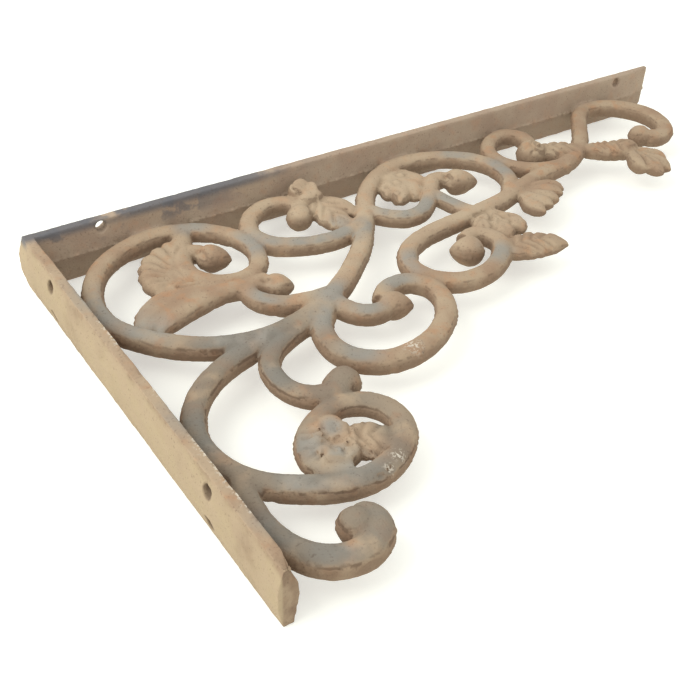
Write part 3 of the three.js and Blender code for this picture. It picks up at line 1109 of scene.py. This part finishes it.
    def pitting(self, points: np.ndarray, normals: np.ndarray) -> np.ndarray:
        """Gives the pits in the flanks of the half that lies on the table.

        Args:
            points: The casting's points, in millimetres.
            normals: Their normals.

        Returns:
            How far each point is sunk.
        """
        draw = np.random.default_rng(5)
        flank = (np.abs(normals[:, 1]) < 0.9) & (points[:, 0] > self.pits_from[0])
        lower = np.flatnonzero((points[:, 1] > self.pits_from[1]) & flank)
        depth = np.zeros(len(points))
        for index in draw.choice(lower, self.pits, replace=False):
            size = draw.uniform(*self.pit_sizes)
            near = np.flatnonzero(np.abs(points[:, 0] - points[index, 0]) < 2 * size)
            away = np.linalg.norm(points[near] - points[index], axis=1)
            sunk = self.pit_depth * size * np.exp(-((away / size) ** 2))
            depth[near] = np.maximum(depth[near], sunk)
        return depth


class Shades:
    """Builds the layers of one node material, all laid out on Object coordinates."""

    def __init__(self, name: str) -> None:
        """Makes the material with its bare shader.

        Args:
            name: The material's name.
        """
        self.material = bpy.data.materials.new(name)
        self.material.use_nodes = True
        self.nodes = self.material.node_tree.nodes
        self.links = self.material.node_tree.links
        self.shader = self.nodes["Principled BSDF"]
        place = self.nodes.new("ShaderNodeTexCoord")
        self.place = place.outputs["Object"]
        split = self.nodes.new("ShaderNodeSeparateXYZ")
        self.links.new(self.place, split.inputs[0])
        self.x, self.y, self.z = split.outputs
        geometry = self.nodes.new("ShaderNodeNewGeometry")
        normal = self.nodes.new("ShaderNodeSeparateXYZ")
        self.links.new(geometry.outputs["Normal"], normal.inputs[0])
        self.towards_back = normal.outputs["Y"]

    def level(self, value: Socket, low: float, high: float) -> Socket:
        """Cuts a value softly.

        Args:
            value: The value.
            low: Where the result is 0.
            high: Where it is 1.

        Returns:
            The cut value.
        """
        node = self.nodes.new("ShaderNodeMapRange")
        node.interpolation_type = "SMOOTHSTEP"
        node.inputs["From Min"].default_value = low
        node.inputs["From Max"].default_value = high
        self.links.new(value, node.inputs["Value"])
        return node.outputs["Result"]

    def below(self, value: Socket, low: float, high: float) -> Socket:
        """Cuts a value softly the other way.

        Args:
            value: The value.
            low: Where the result is 1.
            high: Where it is 0.

        Returns:
            The cut value.
        """
        node = self.nodes.new("ShaderNodeMath")
        node.operation = "SUBTRACT"
        node.inputs[0].default_value = 1
        self.links.new(self.level(value, low, high), node.inputs[1])
        return node.outputs[0]

    def noise(self, scale: float, detail: float, low: float, high: float) -> Socket:
        """Makes a soft noise.

        Args:
            scale: How many patches there are to a metre.
            detail: How many finer layers it has.
            low: The level that is cut to 0.
            high: The level that is cut to 1.

        Returns:
            The noise, 0 to 1.
        """
        source = self.nodes.new("ShaderNodeTexNoise")
        source.inputs["Scale"].default_value = scale
        source.inputs["Detail"].default_value = detail
        self.links.new(self.place, source.inputs["Vector"])
        return self.level(source.outputs["Fac"], low, high)

    def attribute(self, name: str) -> Socket:
        """Gives a value stored on the mesh.

        Args:
            name: The name that it is stored under.

        Returns:
            The value at each place.
        """
        node = self.nodes.new("ShaderNodeAttribute")
        node.attribute_name = name
        return node.outputs["Fac"]

    def times(self, first: Socket, *others: Socket | float) -> Socket:
        """Multiplies values.

        Args:
            first: The first value.
            *others: The values and numbers that it is multiplied by.

        Returns:
            The product.
        """
        for other in others:
            node = self.nodes.new("ShaderNodeMath")
            node.operation = "MULTIPLY"
            self.links.new(first, node.inputs[0])
            if isinstance(other, float):
                node.inputs[1].default_value = other
            else:
                self.links.new(other, node.inputs[1])
            first = node.outputs[0]
        return first

    def over(self, under: Socket | Colour, colour: Colour, share: Socket) -> Socket:
        """Lays a colour over what is under it.

        Args:
            under: The colour under it.
            colour: The colour laid on.
            share: How much of it covers, 0 to 1.

        Returns:
            The mixed colour.
        """
        mix = self.nodes.new("ShaderNodeMix")
        mix.data_type = "RGBA"
        self.links.new(share, mix.inputs["Factor"])
        first, second = (
            next(socket for socket in mix.inputs if socket.name == name and socket.type == "RGBA")
            for name in "AB"
        )
        if isinstance(under, tuple):
            first.default_value = srgb(*under)
        else:
            self.links.new(under, first)
        second.default_value = srgb(*colour)
        return next(socket for socket in mix.outputs if socket.type == "RGBA")


@dataclass(frozen=True)
class RustedIron:
    """Bare cast iron under a thin dusty rust, rubbed grey on its high places, with painted light
    and painted shade laid over it.
    """

    dust: Colour = (170, 150, 124)
    rust: Colour = (150, 123, 99)
    orange: Colour = (174, 130, 94)
    bare: Colour = (143, 141, 132)
    # Painted shade, browner with rust on the bars' flanks.
    lower: Colour = (120, 98, 79)
    # Painted light on the wall plate's outer face.
    painted_light_tan: Colour = (176, 158, 127)
    slate: Colour = (100, 101, 104)
    # Painted shade on the front and shoulders of the lower scrolls near the wall.
    painted_shade_grey: Colour = (112, 108, 98)
    # Pale dust on the flower, and painted light on the middle of the scrollwork.
    pale: Colour = (196, 178, 150)
    plate: Colour = (176, 160, 144)
    # Dark dirt and painted shade in hollows, painted shade along the shoulders, and dark grain.
    dirt_and_painted_shade: Colour = (82, 64, 51)
    chip: Colour = (222, 214, 196)
    roughness: float = 0.85
    gloss: float = 0.2
    bump_share: float = 0.35
    bump_height: float = 0.4

    def rust_light_and_shade_layers(self, shades: Shades) -> list[tuple[Colour, Socket]]:
        """Gives the layers of rust, dust, rubbed iron, painted light and painted shade, from the
        lowest up.

        Args:
            shades: The material that they are built in.

        Returns:
            The colour of each layer and where it covers.
        """
        x, y, z, turned = shades.x, shades.y, shades.z, shades.towards_back
        on_shelf = shades.level(z, 104 * MM, 109 * MM)
        off_shelf = shades.below(z, 104 * MM, 109 * MM)
        petals = shades.attribute("petals")
        # Painted light makes the middle of the scrollwork paler, and pale dust lies thinly on the
        # flower.
        middle = shades.times(
            shades.level(z, 5 * MM, 30 * MM), shades.level(x, 80 * MM, 110 * MM),
            shades.below(x, 220 * MM, 270 * MM), off_shelf, 0.3,
        )
        # The iron is rubbed bare where the bars face the front.
        grey = shades.times(
            shades.below(turned, -0.9, -0.45), shades.noise(60, 8, 0.22, 0.56),
            shades.attribute("rubbed"), 0.85,
        )
        # Painted shade darkens the lower scrolls near the wall on their front and shoulders.
        low = shades.times(
            shades.below(z, 8 * MM, 30 * MM), shades.below(x, 75 * MM, 100 * MM),
            shades.level(x, 5 * MM, 9 * MM), shades.below(turned, -0.85, -0.3),
            shades.noise(80, 6, 0.25, 0.5), shades.below(petals, 0, 0.7), 0.6,
        )
        # Painted shade darkens the shelf plate's back half past its parting line, and darkens the
        # bars' flanks, which are browner with rust.
        under = shades.times(on_shelf, shades.level(y, -0.6 * MM, 0.6 * MM), 0.35)
        side = shades.times(
            shades.level(turned, -0.75, -0.1), shades.noise(70, 6, 0.1, 0.5), off_shelf, 0.8
        )
        return [
            (self.rust, shades.times(shades.noise(55, 6, 0.38, 0.66), 0.7)),
            (self.orange, shades.times(shades.noise(150, 6, 0.5, 0.72), 0.5)),
            (self.pale, middle),
            (self.pale, shades.times(petals, 0.22)),
            (self.plate, shades.times(on_shelf, 0.4)),
            (self.bare, grey),
            (self.painted_shade_grey, low),
            (self.lower, under),
            (self.lower, side),
        ]

    def wear_light_and_shade_layers(self, shades: Shades) -> list[tuple[Colour, Socket]]:
        """Gives the layers of painted shade lines, painted light, stains, dirt with painted shade,
        chips and dark grain, from the lowest up.

        Args:
            shades: The material that they are built in.

        Returns:
            The colour of each layer and where it covers.
        """
        x, y, z, turned = shades.x, shades.y, shades.z, shades.towards_back
        # Painted shade: a dark broken line runs where the front rounds over into the flanks, and a
        # ragged one on the lower scrolls.
        shoulder = shades.times(
            shades.level(turned, -0.75, -0.6), shades.below(turned, -0.55, -0.4),
            shades.noise(260, 8, 0.46, 0.6), shades.below(z, 104 * MM, 109 * MM), 0.4,
        )
        ragged = shades.times(
            shades.level(turned, -0.62, -0.5), shades.below(turned, -0.42, -0.3),
            shades.noise(180, 8, 0.4, 0.5), shades.below(z, 8 * MM, 30 * MM),
            shades.level(x, 14 * MM, 20 * MM), shades.below(x, 76 * MM, 90 * MM), 0.6,
        )
        # Painted light: the wall plate's outer face, lit from the left, is painted lighter and tan,
        # and its front rim is dusty.
        wall = shades.times(
            shades.below(x, 1.2 * MM, 2.4 * MM), shades.noise(26, 4, 0.15, 0.5), 0.85
        )
        rim = shades.times(
            shades.below(x, 4.6 * MM, 6.5 * MM), shades.noise(120, 6, 0.35, 0.6), 0.6
        )
        chipped = shades.times(shades.attribute("chip"), shades.noise(900, 5, 0.5, 0.58), 0.9)
        # The shelf plate's front edge is slate grey near the corner, and some has run inwards.
        edge = shades.times(
            shades.level(z, 106 * MM, 112 * MM), shades.below(y, -13 * MM, -9 * MM),
            shades.below(x, 110 * MM, 170 * MM), shades.noise(50, 6, 0.35, 0.5), 0.9,
        )
        spill = shades.times(
            shades.level(z, 104 * MM, 108 * MM), shades.below(y, -8 * MM, -2 * MM),
            shades.below(x, 80 * MM, 130 * MM), shades.noise(70, 8, 0.5, 0.56), 0.6,
        )
        return [
            (self.dirt_and_painted_shade, shoulder),
            (self.dirt_and_painted_shade, ragged),
            (self.painted_light_tan, wall),
            (self.dust, rim),
            (self.slate, edge),
            (self.slate, spill),
            # Painted shade with dark dirt in the hollows and inside the wall screw holes.
            (self.dirt_and_painted_shade, shades.times(shades.attribute("hollow"), 0.55)),
            (self.chip, chipped),
            (self.dirt_and_painted_shade, shades.times(shades.noise(900, 3, 0.58, 0.75), 0.4)),
        ]

    def build(self) -> bpy.types.Material:
        """Makes the node material.

        Returns:
            The material, which reads Object coordinates and the piece's own attributes.
        """
        shades = Shades("rusted_iron")
        shades.shader.inputs["Roughness"].default_value = self.roughness
        shades.shader.inputs["Specular IOR Level"].default_value = self.gloss
        colour = self.dust
        for tint, share in self.rust_light_and_shade_layers(shades) + self.wear_light_and_shade_layers(shades):
            colour = shades.over(colour, tint, share)
        shades.links.new(colour, shades.shader.inputs["Base Color"])
        bump = shades.nodes.new("ShaderNodeBump")
        bump.inputs["Strength"].default_value = self.bump_share
        bump.inputs["Distance"].default_value = self.bump_height * MM
        shades.links.new(shades.noise(1100, 4, 0.2, 0.8), bump.inputs["Height"])
        shades.links.new(bump.outputs["Normal"], shades.shader.inputs["Normal"])
        return shades.material


@dataclass
class Casting:
    """The whole bracket: plates, scrolls and leaves fused and given a cast skin."""

    box: tuple[Vector, Vector]
    plates: AnglePlates = field(default_factory=AnglePlates)
    scrolls: Scrolls = field(default_factory=Scrolls)
    leaves: Leaves = field(default_factory=Leaves)
    carving: Carving = field(default_factory=Carving)
    voxel: float = 0.7
    most_triangles: int = 190_000
    # Each skin is the size of its lumps and how high they stand.
    skins: tuple[tuple[float, float], ...] = ((9.0, 0.5), (2.2, 0.3))
    inside: float = 0.03
    # Each chipped stretch of the wall plate's edge runs from one drop to another.
    chip_edge: tuple[tuple[float, float], ...] = ((78, 100), (128, 136), (160, 205))
    # Each spot is a reach, a drop and a size.
    chip_places: tuple[tuple[float, float, float], ...] = (
        (112.7, 149.3, 4.4), (68.5, 199.5, 3.2), (62, 203, 2.2),
    )
    petals: tuple[float, float, float] = (55, 182, 13.0)
    bore_rim: float = 0.9
    rubbed_places: tuple[tuple[float, float, float], ...] = (
        (13, 60, 16), (22, 84, 12), (48, 106, 13), (66, 109, 12), (95, 44, 10), (78, 15, 8),
        (80, 86, 8), (103, 45, 9), (120, 55, 12), (138, 56, 11), (172, 56, 10), (188, 57, 10),
        (204, 58, 8), (150, 58, 7), (106, 100, 9), (91, 112, 10), (112, 115, 8), (136, 106, 8),
        (92, 140, 9), (152, 96, 8), (12, 150, 12), (30, 192, 12), (52, 201, 11), (41, 178, 8),
        (55, 136, 8), (50, 186, 4), (56, 174, 4), (12, 208, 9), (22, 225, 9), (43, 222, 7),
        (237, 22, 9), (249, 45, 9), (192, 110, 8),
    )
    hollow_span: float = 0.6
    chip_edge_width: float = 0.9
    chip_strength: float = 1.2
    rub_strength: float = 1.5
    petal_strength: float = 1.6

    def fuse(self, parts: list[bpy.types.Object]) -> bpy.types.Object:
        """Joins the parts into one closed skin, softens where they run together and carves it.

        Args:
            parts: The closed parts, which overlap.

        Returns:
            The fused casting.
        """
        casting = joined(parts, "bracket")
        modified(casting, "REMESH", mode="VOXEL", voxel_size=self.voxel * MM)
        log.info("fused: %d faces", len(casting.data.polygons))
        modified(casting, "SMOOTH", factor=0.5, iterations=3)
        self.carving.carve(casting, self.leaves)
        return casting

    def roughen(self, casting: bpy.types.Object) -> None:
        """Gives the surface the unevenness of a sand casting.

        Args:
            casting: The carved casting.
        """
        for size, height in self.skins:
            texture = bpy.data.textures.new(f"skin_{size}", "CLOUDS")
            texture.noise_scale = size * MM
            texture.noise_depth = 2
            modified(
                casting, "DISPLACE", texture=texture, texture_coords="LOCAL",
                strength=height * MM, mid_level=0.5,
            )

    def thin(self, casting: bpy.types.Object) -> None:
        """Brings the mesh down to no more than the set number of triangles.

        Args:
            casting: The roughened casting.
        """
        triangles = sum(len(face.vertices) - 2 for face in casting.data.polygons)
        modified(casting, "DECIMATE", ratio=min(1.0, self.most_triangles / triangles))
        log.info("casting: %d triangles from %d", len(casting.data.polygons), triangles)

    def trim(self, casting: bpy.types.Object) -> None:
        """Keeps every point just inside the solid casting's box.

        Args:
            casting: The thinned casting.
        """
        low, high = (np.array(corner) / MM for corner in self.box)
        points, _ = mesh_fields(casting)
        set_points(casting, np.clip(points, low + self.inside, high - self.inside))

    def hollows(self, casting: bpy.types.Object) -> None:
        """Stores how deep in a hollow or in a wall screw hole each place lies, as 0 to 1, where
        painted shade and dirt are laid.

        Args:
            casting: The finished mesh.
        """
        mesh = casting.data
        # These dirty colours measure the hollows that get painted shade as well as dirt.
        mesh.color_attributes.new("dirt", "BYTE_COLOR", "CORNER")
        mesh.color_attributes.active_color_index = 0
        pick(casting)
        bpy.ops.paint.vertex_color_dirt(
            blur_strength=1, blur_iterations=2, clean_angle=math.pi, dirt_angle=0
        )
        shades = np.zeros(len(mesh.loops) * 4, np.float32)
        mesh.color_attributes["dirt"].data.foreach_get("color", shades)
        corners = np.zeros(len(mesh.loops), np.int32)
        mesh.loops.foreach_get("vertex_index", corners)
        light = np.zeros(len(mesh.vertices), np.float32)
        light[corners] = shades[0::4]
        middle = float(np.median(light))
        mesh.color_attributes.remove(mesh.color_attributes["dirt"])
        depths = np.clip((middle - light) / (middle * self.hollow_span), 0, 1)
        points, _ = mesh_fields(casting)
        bore = self.plates.hole_diameter / 2
        for drop, lift in self.plates.wall_holes:
            away = np.hypot(points[:, 1] + lift, PLAN.corner_height - drop - points[:, 2])
            inside = np.clip((bore + self.bore_rim - away) / self.bore_rim, 0, 1)
            depths = np.maximum(depths, np.where(points[:, 0] < 2 * bore, inside, 0))
        store(casting, "hollow", depths)

    def chips(self, casting: bpy.types.Object) -> None:
        """Stores where the rust is chipped pale, as 0 to 1.

        Args:
            casting: The finished mesh.
        """
        points, normals = mesh_fields(casting)
        reach, drop = PLAN.measure(points)
        shares = np.zeros(len(points))
        front = points[:, 1] + self.plates.width / 2
        from_edge = np.hypot(reach - self.plates.edge_thickness, front)
        edge = np.clip(self.chip_strength - from_edge / self.chip_edge_width, 0, 1)
        for start, end in self.chip_edge:
            shares = np.maximum(shares, np.where((drop > start) & (drop < end), edge, 0))
        on_front = normals[:, 1] < -0.2
        scratches = spots(reach, drop, self.chip_places, self.chip_strength) * on_front
        store(casting, "chip", np.maximum(shares, scratches))

    def rubbing(self, casting: bpy.types.Object) -> None:
        """Stores where the rust is rubbed down to grey and where the flower is, as 0 to 1.

        Args:
            casting: The finished mesh.
        """
        reach, drop = PLAN.measure(mesh_fields(casting)[0])
        store(casting, "rubbed", spots(reach, drop, self.rubbed_places, self.rub_strength))
        store(casting, "petals", spots(reach, drop, [self.petals], self.petal_strength))

    def build(self) -> bpy.types.Object:
        """Makes the casting.

        Returns:
            The finished piece, at the origin.
        """
        parts = [self.plates.build(), *self.scrolls.build(), *self.leaves.build()]
        casting = self.fuse(parts)
        self.roughen(casting)
        self.thin(casting)
        self.trim(casting)
        self.hollows(casting)
        self.chips(casting)
        self.rubbing(casting)
        pick(casting)
        bpy.ops.object.shade_smooth_by_angle(angle=math.radians(60))
        casting.data.materials.clear()
        casting.data.materials.append(RustedIron().build())
        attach(casting, "root")
        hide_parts(CASTING)
        return casting


@dataclass(frozen=True)
class Studio:
    """The pale table that the bracket lies on, and a soft white light around it."""

    table_size: float = 6000.0
    table_gap: float = 0.3
    table_colour: Colour = (222, 224, 212)
    table_glow: float = 0.45
    half_width: float = 14.0
    sky: float = 0.95
    key_energy: float = 9.0
    key_size: float = 900.0
    key_place: tuple[float, float, float] = (-750.0, -850.0, 150.0)
    key_target: tuple[float, float, float] = (150.0, 0.0, 0.0)

    def table(self) -> None:
        """Makes the table, which can be seen through from below."""
        clear_selection()
        away = (self.half_width + self.table_gap) * MM
        bpy.ops.mesh.primitive_plane_add(
            size=self.table_size * MM, location=(0, away, 0), rotation=(math.pi / 2, 0, 0)
        )
        table = bpy.context.object
        table.name = "table"
        apply_place(table)
        table.data.materials.append(self.table_finish())
        table.visible_shadow = False
        table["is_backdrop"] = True

    def table_finish(self) -> bpy.types.Material:
        """Makes the table's matt white.

        Returns:
            The material, which is clear on the table's underside.
        """
        material = bpy.data.materials.new("white_table")
        material.use_nodes = True
        nodes = material.node_tree.nodes
        links = material.node_tree.links
        shader = nodes["Principled BSDF"]
        shader.inputs["Base Color"].default_value = srgb(*self.table_colour)
        shader.inputs["Emission Color"].default_value = (1, 1, 0.99, 1)
        shader.inputs["Emission Strength"].default_value = self.table_glow
        shader.inputs["Roughness"].default_value = 0.9
        shader.inputs["Specular IOR Level"].default_value = 0.1
        clear = nodes.new("ShaderNodeBsdfTransparent")
        mix = nodes.new("ShaderNodeMixShader")
        side = nodes.new("ShaderNodeNewGeometry")
        links.new(side.outputs["Backfacing"], mix.inputs[0])
        links.new(shader.outputs[0], mix.inputs[1])
        links.new(clear.outputs[0], mix.inputs[2])
        links.new(mix.outputs[0], nodes["Material Output"].inputs["Surface"])
        return material

    def light(self) -> None:
        """Lights the scene from all round and more from the left."""
        world = bpy.data.worlds.new("studio")
        world.use_nodes = True
        sky = world.node_tree.nodes["Background"]
        sky.inputs["Color"].default_value = (1, 1, 1, 1)
        sky.inputs["Strength"].default_value = self.sky
        bpy.context.scene.world = world
        clear_selection()
        place = Vector(self.key_place) * MM
        bpy.ops.object.light_add(type="AREA", location=place)
        key = bpy.context.object
        key.name = "key"
        key.data.energy = self.key_energy
        key.data.size = self.key_size * MM
        target = Vector(self.key_target) * MM
        key.rotation_euler = (target - place).to_track_quat("-Z", "Y").to_euler()


@dataclass(frozen=True)
class PhotoCamera:
    """The photograph's viewpoint, which looks down on the lying bracket from past its foot."""

    place: tuple[float, float, float] = (-110.31, -271.70, -302.43)
    looks_along: tuple[float, float, float] = (0.46040, 0.61246, 0.64259)
    right: tuple[float, float, float] = (0.82933, -0.03857, -0.55743)
    lens: float = 54.0
    sensor_width: float = 36.0
    nearest: float = 10.0
    farthest: float = 20000.0

    def build(self) -> None:
        """Makes the camera and sets it as the scene's own."""
        clear_selection()
        bpy.ops.object.camera_add()
        camera = bpy.context.object
        camera.name = "photo_camera"
        back = -Vector(self.looks_along).normalized()
        right = Vector(self.right).normalized()
        up = back.cross(right).normalized()
        turn = Matrix((right, up, back)).transposed()
        camera.matrix_world = Matrix.Translation(Vector(self.place) * MM) @ turn.to_4x4()
        camera.data.lens = self.lens
        camera.data.sensor_width = self.sensor_width
        camera.data.clip_start = self.nearest * MM
        camera.data.clip_end = self.farthest * MM
        bpy.context.scene.camera = camera


def main() -> None:
    """Builds the bracket, the table, the light and the camera."""
    logging.basicConfig(level=logging.INFO, format="%(name)s %(message)s")
    cad_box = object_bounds()
    PhotoCamera().build()
    casting = Casting(cad_box).build()
    log.info("piece %s: %d faces", casting.name, len(casting.data.polygons))
    studio = Studio()
    studio.table()
    studio.light()
    bpy.context.scene.view_settings.view_transform = "Standard"


if __name__ == "__main__":
    main()
